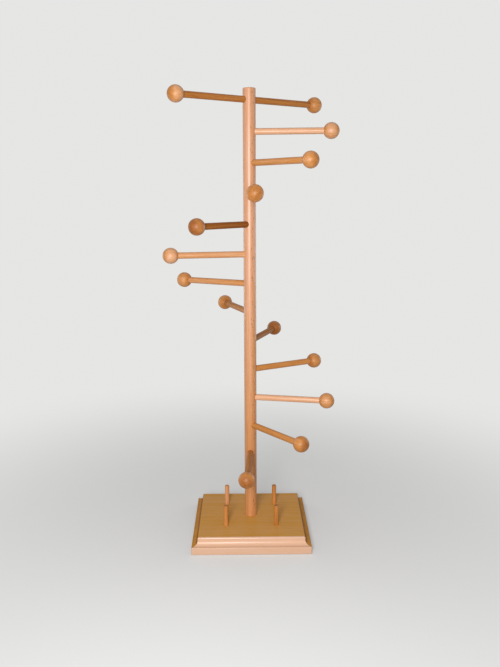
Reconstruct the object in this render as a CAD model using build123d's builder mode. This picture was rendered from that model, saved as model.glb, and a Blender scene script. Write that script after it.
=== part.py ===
from build123d import *

import math
import os

# A jewellery tree in beech, in millimetres. The origin is on the post's axis, on the underside
# of the base. +Z runs up the post, -Y is the front, and +X is to the right seen from the front.

# ---- driving dimensions ----

# base board: a square board with a cove moulding worked along all four edges
BASE_SIDE = 152.6            # across the plain band at the bottom
BASE_THICK = 19.8
BAND_HEIGHT = 9.6            # the plain band under the cove
COVE_RADIUS = 6.1
LEDGE = 1.4                  # flat between the foot of the cove and the band's face
TOP_EASE = 2.0               # rounding of the top edge
BAND_EASE = 0.8              # rounding of the band's own edges
CORNER_EASE = 0.7            # the mitred corners are softened by this much

# post
POST_D = 16.0
POST_TOP = 575.0
POST_SOCKET = 12.0           # how deep the post stands in the base
POST_EASE = 1.0

# arms: a crossbar through the top of the post, then a spiral that falls at an even pitch
ARM_D = 8.0
ARM_COUNT = 12
ARM_LOWEST = 110.1           # height of the lowest arm's axis
ARM_PITCH = 37.6             # from one arm down to the next
ARM_REACH = 100.6            # from the post's axis to the middle of a knob
ARM_FIRST_ANGLE = -5.7       # the highest single arm, degrees from +X
ARM_STEP_ANGLE = -40.7       # each arm below is turned this much from the one above
CROSSBAR_ANGLE = 32.5
ARM_SOCKET = 11.0            # depth of a blind arm hole in the post
ARM_EASE = 0.5

# knobs
KNOB_D = 20.0
KNOB_BORE = 12.0             # depth of the blind hole in a knob
KNOB_MOUTH = 0.3             # countersink at the mouth of that hole

# pegs on the base
PEG_D = 6.0
PEG_SPACING = 66.0           # centre to centre, both ways
PEG_HEIGHT = 27.3            # above the base
PEG_SOCKET = 9.0
PEG_EASE = 0.6

# fits
GLUE_LINE = 0.05             # radial gap for the glue in every dowel hole
HOLE_SPARE = 0.8             # empty space left at the bottom of every blind hole

# screw that holds the post from beneath, 4 x 30
SCREW_D = 4.0
SCREW_CORE_D = 2.8
SCREW_LENGTH = 30.0
SCREW_HEAD_D = 8.0
SCREW_SHANK = 9.0            # plain length under the head
SCREW_THREAD_PITCH = 1.8
SCREW_POINT = 4.0
SCREW_SINK = 0.8             # the head lies this far inside the underside
SCREW_HOLE_D = 4.3
SINK_ANGLE = 90.0
CROSS_SPAN = 4.2
CROSS_WIDTH = 0.9
CROSS_DEPTH = 1.7

os.makedirs("parts", exist_ok=True)


def save(piece, label):
    """Name a finished piece and write its file."""
    piece.part.label = label
    export_step(piece.part, f"parts/{label}.step")


# ---- where each arm leaves the post ----

def arm_plane(angle, height):
    """A plane on the post's axis whose normal runs out along the arm."""
    a = math.radians(angle)
    return Plane(origin=(0, 0, height), x_dir=(0, 0, 1), z_dir=(math.cos(a), math.sin(a), 0))


crossbar_height = ARM_LOWEST + ARM_COUNT * ARM_PITCH
crossbar_plane = arm_plane(CROSSBAR_ANGLE, crossbar_height)
arm_planes = [
    arm_plane(ARM_FIRST_ANGLE + ARM_STEP_ANGLE * k, crossbar_height - ARM_PITCH * (k + 1))
    for k in range(ARM_COUNT)
]
knob_planes = {f"knob_{k + 1:02d}": plane for k, plane in enumerate(arm_planes)}
knob_planes["knob_top_right"] = crossbar_plane
knob_planes["knob_top_left"] = arm_plane(CROSSBAR_ANGLE + 180, crossbar_height)
arm_end = ARM_REACH - KNOB_D / 2 + KNOB_BORE - HOLE_SPARE     # the dowel's end inside a knob

# ---- base board ----

half = BASE_SIDE / 2
top_half = half - LEDGE - COVE_RADIUS          # the top face reaches this far from the middle
cove_top = BAND_HEIGHT + COVE_RADIUS


def moulded_outline(plane):
    """The moulding's outline across the whole board, drawn on an upright plane."""
    with BuildSketch(plane) as outline:
        with BuildLine():
            Line((0, 0), (half - BAND_EASE, 0))
            RadiusArc((half - BAND_EASE, 0), (half, BAND_EASE), -BAND_EASE)
            Line((half, BAND_EASE), (half, BAND_HEIGHT - BAND_EASE))
            RadiusArc((half, BAND_HEIGHT - BAND_EASE), (half - BAND_EASE, BAND_HEIGHT), -BAND_EASE)
            Line((half - BAND_EASE, BAND_HEIGHT), (half - LEDGE, BAND_HEIGHT))
            RadiusArc((half - LEDGE, BAND_HEIGHT), (top_half, cove_top), COVE_RADIUS)
            Line((top_half, cove_top), (top_half, BASE_THICK - TOP_EASE))
            RadiusArc((top_half, BASE_THICK - TOP_EASE), (top_half - TOP_EASE, BASE_THICK), -TOP_EASE)
            Line((top_half - TOP_EASE, BASE_THICK), (0, BASE_THICK))
            Line((0, BASE_THICK), (0, 0))
        make_face()
        mirror(about=Plane.YZ)
    return outline


# The outline run through front to back and left to right, where both agree: a mitred moulding.
side_outline = Plane(origin=(0, 0, 0), x_dir=(0, 1, 0), z_dir=(1, 0, 0))
with BuildPart() as base_board:
    extrude(moulded_outline(Plane.XZ).sketch, amount=half, both=True)
    extrude(moulded_outline(side_outline).sketch, amount=half, both=True, mode=Mode.INTERSECT)
    with Locations((0, 0, BASE_THICK)):
        Hole(POST_D / 2 + GLUE_LINE, depth=POST_SOCKET)
        with GridLocations(PEG_SPACING, PEG_SPACING, 2, 2):
            Hole(PEG_D / 2 + GLUE_LINE, depth=PEG_SOCKET + HOLE_SPARE)
    with Locations(Plane(origin=(0, 0, 0), z_dir=(0, 0, -1))):
        CounterSinkHole(
            radius=SCREW_HOLE_D / 2,
            counter_sink_radius=SCREW_HEAD_D / 2 + SCREW_SINK,
            depth=BASE_THICK - POST_SOCKET,
            counter_sink_angle=SINK_ANGLE,
        )
    mitres = base_board.edges().filter_by(Axis.Z).filter_by(
        lambda edge: abs(edge.center().Y) > top_half - 1
    )
    fillet(mitres, CORNER_EASE)
save(base_board, "base_board")

# ---- post ----

post_foot = BASE_THICK - POST_SOCKET
post_length = POST_TOP - post_foot
with BuildPart() as post:
    with BuildSketch(Plane.XY.offset(post_foot)):
        Circle(POST_D / 2)
    extrude(amount=post_length)
    rim = post.faces().sort_by(Axis.Z)[-1].edges()
    fillet(rim, POST_EASE)
    for plane in arm_planes:
        with Locations(plane.offset(POST_D / 2)):
            Hole(ARM_D / 2 + GLUE_LINE, depth=ARM_SOCKET + HOLE_SPARE)
    with Locations(crossbar_plane):
        Hole(ARM_D / 2 + GLUE_LINE)
    with Locations(Plane(origin=(0, 0, post_foot), z_dir=(0, 0, -1))):
        Hole(SCREW_D / 2 + GLUE_LINE, depth=SCREW_SINK + SCREW_LENGTH - post_foot + HOLE_SPARE)
save(post, "post")

# ---- crossbar and arms: plain dowels with eased ends ----


def dowel(plane, start, length, diameter, ease):
    """A round dowel along the plane's normal, both ends eased."""
    with BuildPart() as rod:
        with BuildSketch(plane.offset(start)):
            Circle(diameter / 2)
        extrude(amount=length)
        chamfer(rod.edges().filter_by(GeomType.CIRCLE), ease)
    return rod


save(dowel(crossbar_plane, -arm_end, 2 * arm_end, ARM_D, ARM_EASE), "top_crossbar")

arm_start = POST_D / 2 - ARM_SOCKET
for number, plane in enumerate(arm_planes, start=1):
    save(dowel(plane, arm_start, arm_end - arm_start, ARM_D, ARM_EASE), f"arm_{number:02d}")

# ---- knobs: turned balls, each bored part way from the side that faces the post ----

for label, plane in knob_planes.items():
    with BuildPart(plane.offset(ARM_REACH)) as knob:
        Sphere(KNOB_D / 2)
        with Locations(Location((0, 0, -KNOB_D / 2), (180, 0, 0))):
            Hole(ARM_D / 2 + GLUE_LINE, depth=KNOB_BORE)
        mouth = knob.edges().filter_by(GeomType.CIRCLE).sort_by(Axis(plane.origin, plane.z_dir))[0]
        chamfer(mouth, KNOB_MOUTH)
    save(knob, label)

# ---- pegs on the base ----

for side, x in (("left", -1), ("right", 1)):
    for end, y in (("front", -1), ("back", 1)):
        foot = Plane(origin=(x * PEG_SPACING / 2, y * PEG_SPACING / 2, BASE_THICK))
        peg = dowel(foot, -PEG_SOCKET, PEG_SOCKET + PEG_HEIGHT, PEG_D, PEG_EASE)
        save(peg, f"base_peg_{end}_{side}")

# ---- screw: countersunk head with a cross recess, plain shank, thread as even ridges ----

head_cone = (SCREW_HEAD_D - SCREW_D) / 2
thread_turns = int((SCREW_LENGTH - SCREW_SHANK - SCREW_POINT) / SCREW_THREAD_PITCH)
thread_end = SCREW_SHANK + thread_turns * SCREW_THREAD_PITCH
screw_outline = [(0, 0), (SCREW_HEAD_D / 2, 0), (SCREW_D / 2, head_cone), (SCREW_D / 2, SCREW_SHANK)]
for turn in range(thread_turns):
    root = SCREW_SHANK + turn * SCREW_THREAD_PITCH
    screw_outline += [
        (SCREW_CORE_D / 2, root + SCREW_THREAD_PITCH * 0.35),
        (SCREW_CORE_D / 2, root + SCREW_THREAD_PITCH * 0.65),
        (SCREW_D / 2, root + SCREW_THREAD_PITCH),
    ]
screw_outline += [(SCREW_CORE_D / 2, thread_end + SCREW_THREAD_PITCH * 0.5), (0, SCREW_LENGTH)]

screw_seat = Plane(origin=(0, 0, SCREW_SINK), x_dir=(1, 0, 0), z_dir=(0, -1, 0))
with BuildPart() as post_screw:
    with BuildSketch(screw_seat):
        with BuildLine():
            Polyline(*screw_outline, close=True)
        make_face()
    revolve(axis=Axis.Z)
    with BuildSketch(Plane.XY.offset(SCREW_SINK)):
        Rectangle(CROSS_SPAN, CROSS_WIDTH)
        Rectangle(CROSS_WIDTH, CROSS_SPAN)
    extrude(amount=CROSS_DEPTH, taper=10, mode=Mode.SUBTRACT)
save(post_screw, "post_screw")
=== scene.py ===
import math

import bpy
import numpy as np
from mathutils import Matrix, Vector


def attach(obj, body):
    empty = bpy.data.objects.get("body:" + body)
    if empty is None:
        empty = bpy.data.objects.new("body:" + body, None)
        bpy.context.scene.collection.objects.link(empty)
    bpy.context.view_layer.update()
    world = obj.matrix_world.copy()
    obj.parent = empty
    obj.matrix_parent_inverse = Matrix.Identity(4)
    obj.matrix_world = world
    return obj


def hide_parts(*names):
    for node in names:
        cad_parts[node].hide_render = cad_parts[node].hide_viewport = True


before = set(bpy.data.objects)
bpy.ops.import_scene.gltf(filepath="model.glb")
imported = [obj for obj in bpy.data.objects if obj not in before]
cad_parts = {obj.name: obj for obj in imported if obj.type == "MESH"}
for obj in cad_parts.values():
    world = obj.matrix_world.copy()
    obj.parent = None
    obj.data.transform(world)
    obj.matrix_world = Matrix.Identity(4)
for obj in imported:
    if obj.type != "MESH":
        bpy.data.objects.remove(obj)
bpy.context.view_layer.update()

# ---- camera ----
# A portrait view from straight in front, level with the upper arms and tipped down to take in the
# base. The lens and the place come from the stand's own outline in the photograph.

CAMERA_PLACE = (-0.008609, -0.896766, 0.442459)
CAMERA_TURN, CAMERA_TIP, CAMERA_ROLL = -0.00942, 0.18947, -0.00443      # radians
CAMERA_LENS, CAMERA_FILM = 37.92, 36.0   # mm: the lens, and the height of the film behind it

view = bpy.data.cameras.new("front_view")
view.sensor_fit = "VERTICAL"
view.sensor_height = CAMERA_FILM
view.lens = CAMERA_LENS
view.clip_start = 0.01
camera = bpy.data.objects.new("front_view", view)
camera.matrix_world = (
    Matrix.Translation(CAMERA_PLACE)
    @ Matrix.Rotation(CAMERA_TURN, 4, "Z")
    @ Matrix.Rotation(math.pi / 2 - CAMERA_TIP, 4, "X")
    @ Matrix.Rotation(CAMERA_ROLL, 4, "Z")
)
bpy.context.scene.collection.objects.link(camera)
bpy.context.scene.camera = camera
bpy.context.scene.view_settings.view_transform = "Standard"

# ---- floor and light ----
# A plain pale floor that runs out into a pale surround. One soft lamp stands by the camera, two weaker
# ones stand low behind the stand, and an even fill comes from all round.

FLOOR_RADIUS = 6.0
FLOOR_STEPS = 96
FLOOR_DROP = 0.0002                      # the floor lies this far beneath the base
FLOOR_COLOUR = (0.86, 0.86, 0.85)
FLOOR_BOUNCE = (0.35, 0.35, 0.34)        # what the floor throws back up at the stand
FADE_FROM, FADE_TO = 0.05, 0.80          # the floor turns into the surround between these distances
FADE_LEAST = 0.25                        # and is this much surround under the stand
SURROUND = (0.79, 0.79, 0.78)
FILL = 0.25                              # light from all round, where 1 is a white surface
LAMP_AIM = (0, 0, 0.3)
LAMPS = {                                # place, size, and light at the post on the same scale
    "front_lamp": ((-0.12, -0.97, 0.46), 0.30, 0.98),
    "back_left_lamp": ((-0.95, 0.70, 0.30), 0.50, 0.12),
    "back_right_lamp": ((0.95, 0.70, 0.30), 0.50, 0.12),
}


def put(tree, kind, inputs=None, **settings):
    """Add one node. Each input takes a plain value, or another node's output."""
    made = tree.nodes.new(kind)
    for name, value in settings.items():
        setattr(made, name, value)
    for name, value in (inputs or {}).items():
        if isinstance(value, bpy.types.NodeSocket):
            tree.links.new(value, made.inputs[name])
        else:
            made.inputs[name].default_value = value
    return made


def bare_material(name):
    """A new material and its node tree, which is still empty."""
    made = bpy.data.materials.new(name)
    made.use_nodes = True
    made.node_tree.nodes.clear()
    return made, made.node_tree


def seen_directly(tree):
    """1 where a ray comes from the camera or by a mirror or glass, and 0 for light on its way round."""
    path = put(tree, "ShaderNodeLightPath").outputs
    glossy = put(tree, "ShaderNodeMath", {0: path["Is Glossy Ray"], 1: path["Is Transmission Ray"]},
                 operation="MAXIMUM").outputs[0]
    return put(tree, "ShaderNodeMath", {0: path["Is Camera Ray"], 1: glossy}, operation="MAXIMUM").outputs[0]


world = bpy.data.worlds.new("pale_surround")
bpy.context.scene.world = world
world.use_nodes = True
tree = world.node_tree
tree.nodes.clear()
fill = put(tree, "ShaderNodeBackground", {"Color": (1, 1, 1, 1), "Strength": FILL}).outputs[0]
surround = put(tree, "ShaderNodeBackground", {"Color": (*SURROUND, 1), "Strength": 1.0}).outputs[0]
around = put(tree, "ShaderNodeMixShader", {0: seen_directly(tree), 1: fill, 2: surround}).outputs[0]
put(tree, "ShaderNodeOutputWorld", {"Surface": around})

turn = np.linspace(0, 2 * math.pi, FLOOR_STEPS, endpoint=False)
rim = np.stack([FLOOR_RADIUS * np.cos(turn), FLOOR_RADIUS * np.sin(turn), np.full(FLOOR_STEPS, -FLOOR_DROP)],
               axis=1)
floor_mesh = bpy.data.meshes.new("floor")
floor_mesh.from_pydata(rim.tolist(), [], [list(range(FLOOR_STEPS))])
floor = bpy.data.objects.new("floor", floor_mesh)
bpy.context.scene.collection.objects.link(floor)

floor_paint, tree = bare_material("pale_floor")
place = put(tree, "ShaderNodeTexCoord").outputs["Object"]
reach = put(tree, "ShaderNodeVectorMath", {0: place}, operation="LENGTH").outputs["Value"]
fade = put(tree, "ShaderNodeMapRange",
           {"Value": reach, "From Min": FADE_FROM, "From Max": FADE_TO, "To Min": FADE_LEAST},
           interpolation_type="SMOOTHSTEP").outputs[0]
fade = put(tree, "ShaderNodeMath", {0: fade, 1: seen_directly(tree)}, operation="MULTIPLY").outputs[0]
shown = put(tree, "ShaderNodeMix", {0: seen_directly(tree), 6: (*FLOOR_BOUNCE, 1), 7: (*FLOOR_COLOUR, 1)},
            data_type="RGBA").outputs[2]
paint = put(tree, "ShaderNodeBsdfDiffuse", {"Color": shown}).outputs[0]
glow = put(tree, "ShaderNodeEmission", {"Color": (*SURROUND, 1), "Strength": 1.0}).outputs[0]
faded = put(tree, "ShaderNodeMixShader", {0: fade, 1: paint, 2: glow}).outputs[0]
put(tree, "ShaderNodeOutputMaterial", {"Surface": faded})
floor_mesh.materials.append(floor_paint)

for name, (place, size, light) in LAMPS.items():
    lamp = bpy.data.lights.new(name, "AREA")
    lamp.shape, lamp.size = "DISK", size
    aim = Vector(place) - Vector(LAMP_AIM)
    lamp.energy = light * math.pi**2 * aim.length**2
    stood = bpy.data.objects.new(name, lamp)
    stood.matrix_world = Matrix.Translation(place) @ aim.to_track_quat("Z", "Y").to_matrix().to_4x4()
    bpy.context.scene.collection.objects.link(stood)

# ---- base board ----
# One square board of beech, 20 mm thick. A cutter was run along all four edges, which leaves a cove
# between the top and a plain band. It is drilled for the post and four pegs, sanded and lacquered.

BASE_HALF = 0.0763
BASE_THICK = 0.0198
BAND_HEIGHT = 0.0096
COVE_RADIUS = 0.0061
LEDGE = 0.0014
TOP_EASE = 0.0020
BAND_EASE = 0.0008
CORNER_EASE = 0.0007
POST_RADIUS = 0.008
POST_SOCKET = 0.012
PEG_RADIUS = 0.003
PEG_SPACING = 0.066
PEG_SOCKET = 0.0098
GLUE_LINE = 0.00005                      # a drilled hole is wider than its dowel by this, all round
MOUTH = 0.00025                          # drilled holes are broken at the edge by this much
SCREW_HOLE = 0.00215
SCREW_HOLE_TOP = 0.0125                  # the screw's drill stops inside the post's socket
SCREW_SINK = 0.0048                      # radius of the countersink at the underside
CLEAR = 0.001                            # a drill's shape starts this far outside the wood
HOLE_STEPS = 48                          # faces round a peg's hole
HOLD_CLOSE, HOLD, HOLD_WIDE = 0.0003, 0.0004, 0.0006     # rings this near an eased edge keep flats flat
TOUCH = 0.0001                           # a point this near the underside lies on it
SHARP_ANGLE = 32                         # degrees past which an edge stays crisp

BEECH_PALE = (0.79, 0.45, 0.28, 1)
BEECH_MIDDLE = (0.59, 0.24, 0.060, 1)
BEECH_DEEP = (0.30, 0.09, 0.012, 1)
BEECH_FLECK = (0.16, 0.06, 0.02, 1)
FLECK_RADIUS = 0.07                      # flecks have their stated width this far from the heart

# by place on the board: flat faces and holes, side mouldings and their top edge, front and back ones
# the pale front and back moulding is painted sheen and its paler top edge a painted highlight; the deeper
# side moulding is partly end grain, partly painted shade
BOARD_TONES_AND_PAINTED_LIGHT = (0.44, 0.62, 0.44, 0.02, -0.04)
BOARD_LACQUER = (0.10, 0.04, 0.10, 0.60, 1.0)


def closed_skins(name, *skins):
    """One object with a closed skin over each stack of rings. A stack is points[ring, step round it].
    Quads join each ring to the next, and one flat face closes the first ring and the last."""
    loops, sizes, points, first = [], [], [], 0
    for rings in skins:
        index = first + np.arange(rings.shape[0] * rings.shape[1]).reshape(rings.shape[:2])
        onward = np.roll(index, -1, axis=1)
        quads = np.stack([index[:-1], onward[:-1], onward[1:], index[1:]], axis=-1).reshape(-1, 4)
        loops += [quads.ravel(), index[0, ::-1], index[-1]]
        sizes += [np.full(len(quads), 4), [rings.shape[1]] * 2]
        points.append(rings.reshape(-1, 3))
        first += index.size
    loops, sizes, points = (np.concatenate(part) for part in (loops, sizes, points))
    mesh = bpy.data.meshes.new(name)
    mesh.vertices.add(len(points))
    mesh.vertices.foreach_set("co", points.ravel().astype(np.float32))
    mesh.loops.add(len(loops))
    mesh.loops.foreach_set("vertex_index", loops.astype(np.int32))
    mesh.polygons.add(len(sizes))
    mesh.polygons.foreach_set("loop_start", (np.cumsum(sizes) - sizes).astype(np.int32))
    mesh.update(calc_edges=True)
    piece = bpy.data.objects.new(name, mesh)
    bpy.context.scene.collection.objects.link(piece)
    return piece


def sideways(axis):
    """A direction square to an axis: straight up for one that lies level, and +X for one that stands."""
    return np.array((1.0, 0, 0) if abs(axis[2]) > 0.9 else (0, 0, 1.0))


def lathe(profile, foot, axis, around):
    """Rings of a turned shape: each (distance along, radius) of the profile is a circle about the axis."""
    along, radius = np.array(profile, float).T[:, :, None, None]
    axis = np.array(axis, float)
    side = sideways(axis)
    across = np.cross(axis, side)
    turn = 2 * math.pi * np.arange(around)[:, None] / around
    return np.array(foot) + along * axis + radius * (np.cos(turn) * side + np.sin(turn) * across)


def arc(radius, start, end, steps):
    """Points on part of a circle round (0, 0), from one angle in degrees to another."""
    angle = np.radians(np.linspace(start, end, steps + 1))
    return [(radius * math.cos(a), radius * math.sin(a)) for a in angle]


def drilled(piece, cutters):
    """Cut the drills' shapes out of a piece, and take the drills away."""
    cut = piece.modifiers.new("drilled", "BOOLEAN")
    cut.operation, cut.solver, cut.object = "DIFFERENCE", "EXACT", cutters
    bpy.context.view_layer.update()
    whole = piece.data
    finished = piece.evaluated_get(bpy.context.evaluated_depsgraph_get())
    piece.data = bpy.data.meshes.new_from_object(finished)
    piece.data.name = whole.name
    piece.modifiers.clear()
    for spent in (whole, cutters.data):
        bpy.data.meshes.remove(spent)


def lay_grain(piece, centre, fibre, pith, tone, lacquer=0.35):
    """Shade the piece, and write how it was cut from the tree and finished.
    in_tree is each point's place in the tree, in metres: the fibre runs along Z and the tree's heart
    is the Z axis. pith is the distance and angle from the heart to the piece's centre, and how far up
    the tree that lies.
    end_grain is how squarely the surface crosses the fibre: the size of the normal's part along it.
    ray_end is how squarely it crosses the rays, which run straight out from the heart.
    tone and lacquer are one number for the piece, or a function of its points."""
    mesh = piece.data
    mesh.shade_smooth()
    mesh.set_sharp_from_angle(angle=math.radians(SHARP_ANGLE))
    fibre = np.array(fibre, float)
    side = sideways(fibre)
    axes = np.stack([side, np.cross(fibre, side), fibre], axis=1)
    points = np.empty(len(mesh.vertices) * 3, np.float32)
    mesh.vertices.foreach_get("co", points)
    points = points.reshape(-1, 3)
    distance, angle, along = pith
    in_tree = (points - centre) @ axes + (distance * math.cos(angle), distance * math.sin(angle), along)
    mesh.attributes.new("in_tree", "FLOAT_VECTOR", "POINT").data.foreach_set("vector", in_tree.ravel())
    normals = np.empty(len(mesh.loops) * 3, np.float32)
    mesh.corner_normals.foreach_get("vector", normals)
    vertex = np.empty(len(mesh.loops), np.int32)
    mesh.loops.foreach_get("vertex_index", vertex)
    normals = normals.reshape(-1, 3) @ axes
    outward = in_tree[vertex, :2] / np.linalg.norm(in_tree[vertex, :2], axis=1, keepdims=True)
    for name, value in (("end_grain", normals[:, 2]), ("ray_end", (normals[:, :2] * outward).sum(axis=1))):
        written = mesh.attributes.new(name, "FLOAT", "CORNER").data
        written.foreach_set("value", np.abs(value).astype(np.float32))
    for name, value in (("tone", tone), ("lacquer", lacquer)):
        value = value(points) if callable(value) else np.full(len(points), value)
        written = mesh.attributes.new(name, "FLOAT", "POINT").data
        written.foreach_set("value", value.astype(np.float32))


def beech_figure():
    """Node group: the look of beech at a point of the tree.
    Rings are steps of the distance from the heart, bent by slow noise and darker at each ring's
    late side. Streaks are noise drawn out along the fibre. Flecks are the ends of the rays: small
    cells, thin round the ring and long with the fibre, that show where the surface crosses the rays
    squarely. End grain is darker and duller, and its lacquer is thinner."""
    tree = bpy.data.node_groups.new("beech_figure", "ShaderNodeTree")
    named = [("In Tree", "NodeSocketVector", None), ("End Grain", "NodeSocketFloat", 0.0),
             ("Ray End", "NodeSocketFloat", 1.0), ("Tone", "NodeSocketFloat", 0.3),
             ("Pale", "NodeSocketColor", BEECH_PALE), ("Middle", "NodeSocketColor", BEECH_MIDDLE),
             ("Deep", "NodeSocketColor", BEECH_DEEP), ("Ring Width", "NodeSocketFloat", 0.002),
             ("Ring Depth", "NodeSocketFloat", 0.25), ("Streak Depth", "NodeSocketFloat", 0.5),
             ("Fleck Depth", "NodeSocketFloat", 0.5), ("End Depth", "NodeSocketFloat", 0.28),
             ("Sheen Roughness", "NodeSocketFloat", 0.36), ("Lacquer", "NodeSocketFloat", 0.3)]
    for name, kind, value in named:
        socket = tree.interface.new_socket(name=name, in_out="INPUT", socket_type=kind)
        if value is not None:
            socket.default_value = value
    for name, kind in (("Color", "NodeSocketColor"), ("Roughness", "NodeSocketFloat"),
                       ("Lacquer", "NodeSocketFloat"), ("Height", "NodeSocketFloat")):
        tree.interface.new_socket(name=name, in_out="OUTPUT", socket_type=kind)
    given = tree.nodes.new("NodeGroupInput").outputs

    def calc(operation, a, b=0.0, c=0.0, clamp=False):
        return put(tree, "ShaderNodeMath", {0: a, 1: b, 2: c},
                   operation=operation, use_clamp=clamp).outputs[0]

    def step(value, low, high):
        return put(tree, "ShaderNodeMapRange", {"Value": value, "From Min": low, "From Max": high},
                   interpolation_type="SMOOTHSTEP").outputs[0]

    def noise(scale, detail=2.0):
        """Noise from -0.5 to 0.5, with a size of its own along each axis of the tree."""
        spread = put(tree, "ShaderNodeVectorMath", {0: given["In Tree"], 1: scale}, operation="MULTIPLY")
        wave = put(tree, "ShaderNodeTexNoise", {"Vector": spread.outputs[0], "Scale": 1.0, "Detail": detail})
        return calc("SUBTRACT", wave.outputs[0], 0.5)

    def tint(factor, a, b):
        return put(tree, "ShaderNodeMix", {0: factor, 6: a, 7: b}, data_type="RGBA").outputs[2]

    xyz = put(tree, "ShaderNodeSeparateXYZ", {0: given["In Tree"]}).outputs
    heart_distance = calc("SQRT", calc("MULTIPLY_ADD", xyz[0], xyz[0], calc("MULTIPLY", xyz[1], xyz[1])))
    heart_angle = calc("ARCTAN2", xyz[1], xyz[0])

    bent = calc("MULTIPLY_ADD", noise((22, 22, 3)), 0.011, heart_distance)
    bent = calc("MULTIPLY_ADD", noise((150, 150, 16)), 0.0016, bent)
    ring = calc("DIVIDE", bent, given["Ring Width"])
    late = calc("POWER", calc("FRACT", ring), 3.0)
    ring_tone = put(tree, "ShaderNodeTexWhiteNoise", {"W": calc("FLOOR", ring)},
                    noise_dimensions="1D").outputs[0]
    rings = calc("MULTIPLY_ADD", late, 0.6, calc("MULTIPLY", calc("SUBTRACT", ring_tone, 0.65), 0.7))

    fine = noise((1500, 1500, 42))
    broad = noise((240, 240, 7))
    streaks = calc("MULTIPLY_ADD", fine, 1.1, broad)

    def flecks(across, along, deep, size, share):
        """Ray ends: cells of a Voronoi pattern, wide across, along and deep in the tree, some left out."""
        round_heart = calc("MULTIPLY", heart_angle, FLECK_RADIUS)
        spot = put(tree, "ShaderNodeCombineXYZ", {0: calc("DIVIDE", round_heart, across),
                                                  1: calc("DIVIDE", xyz[2], along),
                                                  2: calc("DIVIDE", heart_distance, deep)}).outputs[0]
        cell = put(tree, "ShaderNodeTexVoronoi", {"Vector": spot, "Scale": 1.0, "Randomness": 0.9}).outputs
        chance = put(tree, "ShaderNodeSeparateColor", {0: cell["Color"]}).outputs[0]
        return calc("MULTIPLY", step(cell["Distance"], size, size * 0.5), calc("LESS_THAN", chance, share))

    rays = flecks(0.0013, 0.0062, 0.009, 0.20, 0.8)
    marks = flecks(0.0017, 0.0075, 0.030, 0.27, 0.55)
    fleck = calc("MULTIPLY", calc("MAXIMUM", calc("MULTIPLY", rays, 0.45), marks), given["Fleck Depth"])
    fleck = calc("MULTIPLY", fleck, step(given["Ray End"], 0.72, 0.97))
    end = step(given["End Grain"], 0.35, 1.0)

    shade = calc("MULTIPLY_ADD", rings, given["Ring Depth"], given["Tone"])
    shade = calc("MULTIPLY_ADD", streaks, given["Streak Depth"], shade)
    shade = calc("MULTIPLY_ADD", end, given["End Depth"], shade)
    colour = tint(calc("MULTIPLY", shade, 2.0, clamp=True), given["Pale"], given["Middle"])
    colour = tint(calc("MULTIPLY_ADD", shade, 2.0, -1.0, clamp=True), colour, given["Deep"])
    colour = tint(fleck, colour, BEECH_FLECK)
    pores = step(noise((5200, 5200, 900), 0.0), 0.16, 0.30)
    colour = tint(calc("MULTIPLY", pores, calc("MULTIPLY_ADD", end, 0.25, 0.10)), colour, given["Deep"])

    rough = calc("MULTIPLY_ADD", end, 0.12, given["Sheen Roughness"])
    rough = calc("MULTIPLY_ADD", fine, 0.10, calc("MULTIPLY_ADD", fleck, 0.12, rough))
    height = calc("SUBTRACT", calc("MULTIPLY_ADD", fine, 0.8, 0.5), calc("MULTIPLY", fleck, 0.5))
    height = calc("MULTIPLY_ADD", pores, -0.25, height)
    lacquer = calc("MULTIPLY", given["Lacquer"], calc("MULTIPLY_ADD", end, -0.2, 1.0))
    put(tree, "NodeGroupOutput", {"Color": colour, "Roughness": rough, "Lacquer": lacquer, "Height": height})
    return tree


figure = beech_figure()


def beech(name, gloss=0.03, lacquer_roughness=0.30, **values):
    """A lacquered beech finish, with its own values for the figure."""
    finish, tree = bare_material(name)
    wood = tree.nodes.new("ShaderNodeGroup")
    wood.node_tree = figure
    for word in ("In Tree", "End Grain", "Ray End", "Tone", "Lacquer"):
        read = put(tree, "ShaderNodeAttribute", attribute_name=word.lower().replace(" ", "_"),
                   attribute_type="GEOMETRY").outputs
        tree.links.new(read["Vector" if word == "In Tree" else "Fac"], wood.inputs[word])
    for word, value in values.items():
        wood.inputs[word.replace("_", " ").title()].default_value = value
    relief = put(tree, "ShaderNodeBump",
                 {"Height": wood.outputs["Height"], "Distance": 0.00012, "Strength": 0.45}).outputs[0]
    shell = put(tree, "ShaderNodeBsdfPrincipled", {
        "Base Color": wood.outputs["Color"], "Roughness": wood.outputs["Roughness"], "Normal": relief,
        "Specular IOR Level": gloss, "Coat Weight": wood.outputs["Lacquer"],
        "Coat Roughness": lacquer_roughness})
    put(tree, "ShaderNodeOutputMaterial", {"Surface": shell.outputs[0]})
    return finish


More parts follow.
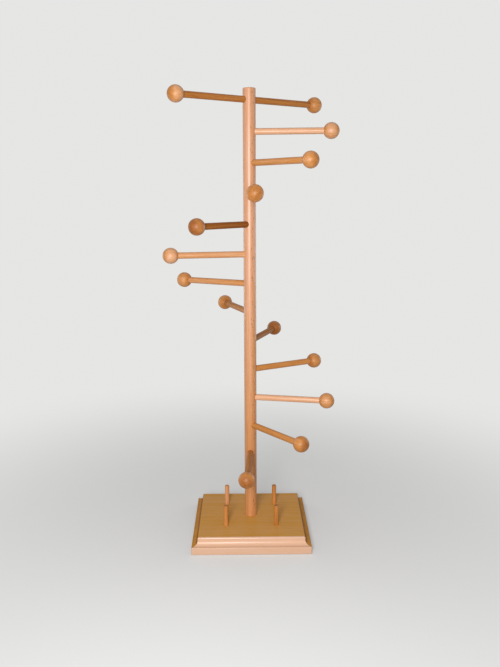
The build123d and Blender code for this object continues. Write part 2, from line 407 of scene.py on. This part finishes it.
def moulded_board(corner_steps=6):
    """Rings of the board, one for each point of the moulding's outline (distance in from the band, height).
    A ring is a square with rounded corners: a corner's centre, plus the corner radius times the
    direction, which turns a quarter at each corner. The moulding so meets in a mitre."""
    band_top, cove_top, edge_foot = BAND_HEIGHT - BAND_EASE, BAND_HEIGHT + COVE_RADIUS, BASE_THICK - TOP_EASE
    top_in = LEDGE + COVE_RADIUS
    outline = [(2 * BAND_EASE, 0.0)]
    outline += [(BAND_EASE - y, BAND_EASE - x) for x, y in arc(BAND_EASE, 0, 90, 5)]
    outline += [(0.0, BAND_EASE + HOLD), (0.0, band_top - HOLD)]
    outline += [(BAND_EASE - x, band_top + y) for x, y in arc(BAND_EASE, 0, 90, 5)]
    outline += [(LEDGE - HOLD_CLOSE, BAND_HEIGHT)]
    outline += [(LEDGE + x, cove_top + y) for x, y in arc(COVE_RADIUS, -90, 0, 18)]
    outline += [(top_in, edge_foot - HOLD_CLOSE)]
    outline += [(top_in + TOP_EASE - x, edge_foot + y) for x, y in arc(TOP_EASE, 0, 90, 7)]
    outline += [(top_in + TOP_EASE + HOLD_WIDE, BASE_THICK)]
    inward, height = np.array(outline).T[:, :, None]
    turn = np.radians(np.arange(4)[:, None] * 90 + np.linspace(0, 90, corner_steps + 1)).ravel()
    corner = np.repeat(np.radians(np.arange(4) * 90 + 45), corner_steps + 1)
    middle = (BASE_HALF - inward - CORNER_EASE) * math.sqrt(2)
    x = middle * np.cos(corner) + CORNER_EASE * np.cos(turn)
    y = middle * np.sin(corner) + CORNER_EASE * np.sin(turn)
    return np.stack([x, y, np.broadcast_to(height, x.shape)], axis=-1)


def drill(radius, depth, foot, axis, around=HOLE_STEPS):
    """Rings of a blind hole's shape that starts above the surface and has a broken edge at the mouth."""
    profile = [(-depth, radius), (-MOUTH, radius), (CLEAR, radius + MOUTH + CLEAR)]
    return lathe(profile, foot, axis, around)


base_board = closed_skins("moulded_base", moulded_board())
holes = [drill(POST_RADIUS + GLUE_LINE, POST_SOCKET, (0, 0, BASE_THICK), (0, 0, 1), 2 * HOLE_STEPS)]
holes += [drill(PEG_RADIUS + GLUE_LINE, PEG_SOCKET, (x, y, BASE_THICK), (0, 0, 1))
          for x in (-PEG_SPACING / 2, PEG_SPACING / 2) for y in (-PEG_SPACING / 2, PEG_SPACING / 2)]
sink = [(-CLEAR, SCREW_SINK + CLEAR), (SCREW_SINK - SCREW_HOLE, SCREW_HOLE), (SCREW_HOLE_TOP, SCREW_HOLE)]
holes += [lathe(sink, (0, 0, 0), (0, 0, 1), HOLE_STEPS)]
drilled(base_board, closed_skins("base_drills", *holes))


def board_place(points):
    """0 on the two flat faces and inside the holes. On the mouldings at both sides 1, and 2 on their
    rounded top edge. On those at front and back 3, and 4 on their rounded top edge."""
    flat = BASE_HALF - LEDGE - COVE_RADIUS - TOP_EASE - HOLD
    x, y = np.abs(points[:, 0]), np.abs(points[:, 1])
    inside = (np.maximum(x, y) < flat) | (points[:, 2] < TOUCH)
    edge = points[:, 2] > BASE_THICK - 0.8 * TOP_EASE
    return np.where(inside, 0, np.where(x > y, 1, 3) + edge)


def board_tone_and_painted_light(points):
    """Tone by place, with painted light in it: the long-grain moulding at front and back is pale, a painted
    sheen, and its rounded top edge is paler still, a painted highlight. The flat faces are golden, and the
    moulding that runs across the grain at both sides is a deeper golden, partly for its end grain and partly
    as painted shade."""
    return np.choose(board_place(points), BOARD_TONES_AND_PAINTED_LIGHT)


def board_lacquer(points):
    """The lacquer lies thick on the long-grain moulding and its rounded edge, and soaks in elsewhere."""
    return np.choose(board_place(points), BOARD_LACQUER)


lay_grain(base_board, (0, 0, 0), (1, 0, 0), (0.072, 0.0, 0.4), board_tone_and_painted_light, board_lacquer)
# the board's pale colour shows mostly on the front and back moulding, where it is painted sheen
board_beech = beech("board_beech", gloss=0.02, end_depth=0.5, pale=(0.73, 0.45, 0.305, 1),
                    middle=(0.64, 0.305, 0.045, 1), ring_width=0.0026, ring_depth=0.10,
                    streak_depth=0.24, fleck_depth=0.12)
base_board.data.materials.append(board_beech)
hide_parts("base_board")
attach(base_board, "root")

# ---- post ----
# A straight 16 mm beech dowel, sawn square and eased at the top. Twelve blind holes and one through
# hole are drilled for the arms, and it is glued and screwed into the base.

POST_FOOT, POST_TOP = 0.0078, 0.575
POST_EASE = 0.001
FOOT_EASE = 0.0003
POST_RINGS, POST_RINGS_IN = 28, 0.02     # rings up the plain length, and how far in from each end
POST_STEPS = 112                         # faces round it
ARM_COUNT = 12
ARM_RADIUS = 0.004
ARM_SOCKET = 0.0118
ARM_LOWEST, ARM_PITCH = 0.1101, 0.0376
ARM_FIRST_ANGLE, ARM_STEP_ANGLE = -5.7, -40.7            # degrees: the highest arm, and each one below
CROSSBAR_HEIGHT = ARM_LOWEST + ARM_COUNT * ARM_PITCH
CROSSBAR_ANGLE = 32.5
BIT_END = 0.012                          # the drills for the arms start this far from the post's axis
PILOT_RADIUS, PILOT_DEPTH = 0.00205, 0.0238
POST_TONES_AND_SHADE = ((0.035, 0.11, 0.34), (0.50, 0.59, 0.335))  # heights, and the tone at each; the deeper tone low down is painted shade

arms = np.arange(ARM_COUNT)
arm_angle = np.radians(ARM_FIRST_ANGLE + ARM_STEP_ANGLE * arms)
arm_height = CROSSBAR_HEIGHT - ARM_PITCH * (arms + 1)
level = np.zeros(ARM_COUNT)
arm_out = np.stack([np.cos(arm_angle), np.sin(arm_angle), level], axis=1)
arm_root = np.stack([level, level, arm_height], axis=1)
bar_out = np.array((math.cos(math.radians(CROSSBAR_ANGLE)), math.sin(math.radians(CROSSBAR_ANGLE)), 0))
bar_middle = np.array((0, 0, CROSSBAR_HEIGHT))

length = POST_TOP - POST_FOOT
side = [(0.0, POST_RADIUS - FOOT_EASE), (FOOT_EASE, POST_RADIUS), (5 * FOOT_EASE, POST_RADIUS)]
side += [(s, POST_RADIUS) for s in np.linspace(POST_RINGS_IN, length - POST_RINGS_IN, POST_RINGS)]
side += [(length - POST_EASE - HOLD, POST_RADIUS)]
side += [(length - POST_EASE + y, POST_RADIUS - POST_EASE + x) for x, y in arc(POST_EASE, 0, 90, 6)]
side += [(length, POST_RADIUS - POST_EASE - HOLD_WIDE)]
post = closed_skins("round_post", lathe(side, (0, 0, POST_FOOT), (0, 0, 1), POST_STEPS))

bore = ARM_RADIUS + GLUE_LINE
bits = [lathe([(POST_RADIUS - ARM_SOCKET, bore), (BIT_END, bore)], root, out, HOLE_STEPS)
        for out, root in zip(arm_out, arm_root)]
bits += [lathe([(-BIT_END, bore), (BIT_END, bore)], bar_middle, bar_out, HOLE_STEPS)]
bits += [lathe([(-CLEAR, PILOT_RADIUS), (PILOT_DEPTH, PILOT_RADIUS)], (0, 0, POST_FOOT), (0, 0, 1),
               HOLE_STEPS // 2)]
drilled(post, closed_skins("post_drills", *bits))


def post_tone_and_shade(points):
    """The post deepens a little towards its foot, as painted shade, and pales just over the base, in straight
    runs.
    """
    return np.interp(points[:, 2], *POST_TONES_AND_SHADE)


lay_grain(post, (0, 0, 0), (0, 0, 1), (0.058, -0.75, 1.3), post_tone_and_shade, lacquer=1.0)
post_beech = beech("post_beech", lacquer_roughness=0.38, pale=(0.79, 0.47, 0.36, 1),
                   middle=(0.59, 0.25, 0.085, 1), ring_width=0.0021, ring_depth=0.13,
                   streak_depth=0.40, fleck_depth=1.0)
post.data.materials.append(post_beech)
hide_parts("post")
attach(post, "root")

# ---- post screw ----
# A bright zinc-plated countersunk wood screw, driven up through the base into the post's foot. It
# keeps its own shape from the model, and only its plating is made here.

ZINC_GREY = (0.56, 0.58, 0.60, 1)
ZINC_PALE = (0.80, 0.80, 0.77, 1)


def zinc():
    """Bright zinc: a pale metal with a faint blue-grey mottle, rubbed duller in fine scratches."""
    finish, tree = bare_material("bright_zinc")
    place = put(tree, "ShaderNodeTexCoord").outputs["Object"]
    mottle = put(tree, "ShaderNodeTexNoise", {"Vector": place, "Scale": 900.0, "Detail": 3.0}).outputs[0]
    drawn = put(tree, "ShaderNodeMapping", {0: place, "Scale": (9000.0, 9000.0, 500.0)}).outputs[0]
    scratch = put(tree, "ShaderNodeTexNoise", {"Vector": drawn, "Scale": 1.0, "Detail": 2.0}).outputs[0]
    colour = put(tree, "ShaderNodeMix", {0: mottle, 6: ZINC_GREY, 7: ZINC_PALE}, data_type="RGBA").outputs[2]
    rough = put(tree, "ShaderNodeMapRange", {"Value": scratch, "To Min": 0.22, "To Max": 0.46}).outputs[0]
    shell = put(tree, "ShaderNodeBsdfPrincipled", {"Base Color": colour, "Roughness": rough, "Metallic": 1.0})
    put(tree, "ShaderNodeOutputMaterial", {"Surface": shell.outputs[0]})
    return finish


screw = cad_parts["post_screw"]
screw.data.materials.clear()
screw.data.materials.append(zinc())

# ---- crossbar ----
# One 8 mm beech dowel that runs right through the post near its top, so that both ends carry a knob.
# It is pushed through the drilled hole and glued there.

KNOB_RADIUS = 0.010
KNOB_BORE = 0.012
BORE_SPARE = 0.0008                      # empty space at the bottom of a knob's hole
ARM_REACH = 0.1006                       # from the post's axis to the middle of a knob
ARM_END = ARM_REACH - KNOB_RADIUS + KNOB_BORE - BORE_SPARE
ARM_EASE = 0.0005
ARM_STEPS = 64
CROSSBAR_TONE = 0.76


def dowel(start, end, radius, ease, rings=9):
    """Outline of a round dowel between two distances along its axis, with both ends eased."""
    run = [(s, radius) for s in np.linspace(start + ease + HOLD_WIDE, end - ease - HOLD_WIDE, rings)]
    return [(start, radius - ease), (start + ease, radius), *run, (end - ease, radius), (end, radius - ease)]


crossbar_outline = dowel(-ARM_END, ARM_END, ARM_RADIUS, ARM_EASE)
crossbar = closed_skins("through_crossbar", lathe(crossbar_outline, bar_middle, bar_out, ARM_STEPS))
lay_grain(crossbar, bar_middle, bar_out, (0.047, 2.2, 3.1), CROSSBAR_TONE)
arm_beech = beech("arm_beech", ring_width=0.0019, ring_depth=0.22, fleck_depth=0.45)
crossbar.data.materials.append(arm_beech)
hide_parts("top_crossbar")
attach(crossbar, "root")

# ---- arms ----
# Twelve 8 mm beech dowels, each glued 11 mm deep into the post. Their tones differ partly from rod to rod and
# partly as painted light: the arms that lie square across the front view are pale and pinkish, a painted
# sheen, and those that point towards or away from it are a deep orange-brown, a painted shade.

ARM_DEPTH = 0.011
ARM_START = POST_RADIUS - ARM_DEPTH
# pale tones here are painted sheen on arms square across the view, deep ones painted shade on arms that point
# along it, over real rod-to-rod differences
ARM_TONES_AND_PAINTED_LIGHT = (0.10, 0.42, 0.50, 0.91, 0.26, 0.40, 0.60, 0.80, 0.50, 0.10, 0.56, 0.74)

arm_outline = dowel(ARM_START, ARM_END, ARM_RADIUS, ARM_EASE)
for k, tone in enumerate(ARM_TONES_AND_PAINTED_LIGHT):
    arm = closed_skins(f"dowel_arm_{k + 1:02d}", lathe(arm_outline, arm_root[k], arm_out[k], ARM_STEPS))
    pith = (0.045 + 0.006 * (k % 5), 2.4 * k, 4.0 + 0.37 * k)
    lacquer = max(0.05, 0.52 - 0.62 * tone)              # the darker rods shine less
    lay_grain(arm, arm_root[k], arm_out[k], pith, tone, lacquer)
    arm.data.materials.append(arm_beech)
    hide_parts(f"arm_{k + 1:02d}")
    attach(arm, "root")

# ---- knobs ----
# Fourteen turned beech balls, 20 mm across, each bored part way and glued on the end of an arm. The
# bore's mouth is lightly countersunk, which leaves a fine dark line round the dowel.

KNOB_MOUTH = 0.0003                      # countersink at the bore's mouth
KNOB_TIP = 178.6                         # degrees: the lathe leaves a tiny flat at the tip
KNOB_STEPS = 72
KNOB_TONES = (0.28, 0.42, 0.52, 0.76, 0.22, 0.44, 0.54, 0.86, 0.58, 0.36, 0.60, 0.66)
TOP_LEFT_TONE, TOP_RIGHT_TONE = 0.36, 0.50

mouth_angle = math.asin((bore + KNOB_MOUTH) / KNOB_RADIUS)
knob_outline = [(KNOB_BORE - KNOB_RADIUS, bore), (-KNOB_RADIUS * math.cos(mouth_angle) + HOLD, bore)]
knob_outline += [(-x, y) for x, y in arc(KNOB_RADIUS, math.degrees(mouth_angle), KNOB_TIP, 44)]
knob_beech = beech("knob_beech", lacquer_roughness=0.45, sheen_roughness=0.5, ring_width=0.0017,
                   ring_depth=0.16, streak_depth=0.40, fleck_depth=0.40)

knobs = {f"knob_{k + 1:02d}": (arm_root[k], arm_out[k], tone) for k, tone in enumerate(KNOB_TONES)}
knobs["knob_top_left"] = (bar_middle, -bar_out, TOP_LEFT_TONE)
knobs["knob_top_right"] = (bar_middle, bar_out, TOP_RIGHT_TONE)
for k, (node, (root, out, tone)) in enumerate(knobs.items()):
    middle = root + ARM_REACH * out
    knob = closed_skins(node.replace("knob", "ball_knob"), lathe(knob_outline, middle, out, KNOB_STEPS))
    pith = (0.030 + 0.005 * (k % 4), 1.7 * k + 0.6, 9.0 + 0.29 * k)
    lay_grain(knob, middle, out, pith, tone, lacquer=0.9)
    knob.data.materials.append(knob_beech)
    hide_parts(node)
    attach(knob, "root")

# ---- pegs ----
# Four 6 mm beech dowels standing 27 mm above the base, glued in blind holes. Their tops are cut
# square, so end grain shows there.

PEG_HEIGHT, PEG_DEPTH = 0.0273, 0.009
PEG_EASE = 0.0006
PEG_STEPS = 48
PEG_TONES = {"front_left": 0.56, "front_right": 0.66, "back_left": 0.29, "back_right": 0.56}

peg_outline = dowel(-PEG_DEPTH, PEG_HEIGHT, PEG_RADIUS, PEG_EASE)
peg_beech = beech("peg_beech", ring_width=0.0018, ring_depth=0.25, fleck_depth=0.50)
for k, (spot, tone) in enumerate(PEG_TONES.items()):
    foot = np.array((PEG_SPACING / 2 * (1 if "right" in spot else -1),
                     PEG_SPACING / 2 * (1 if "back" in spot else -1), BASE_THICK))
    peg = closed_skins(f"upright_peg_{spot}", lathe(peg_outline, foot, (0, 0, 1), PEG_STEPS))
    lay_grain(peg, foot, (0, 0, 1), (0.05, 1.1 * k, 15.0 + 0.4 * k), tone)
    peg.data.materials.append(peg_beech)
    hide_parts(f"base_peg_{spot}")
    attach(peg, "root")
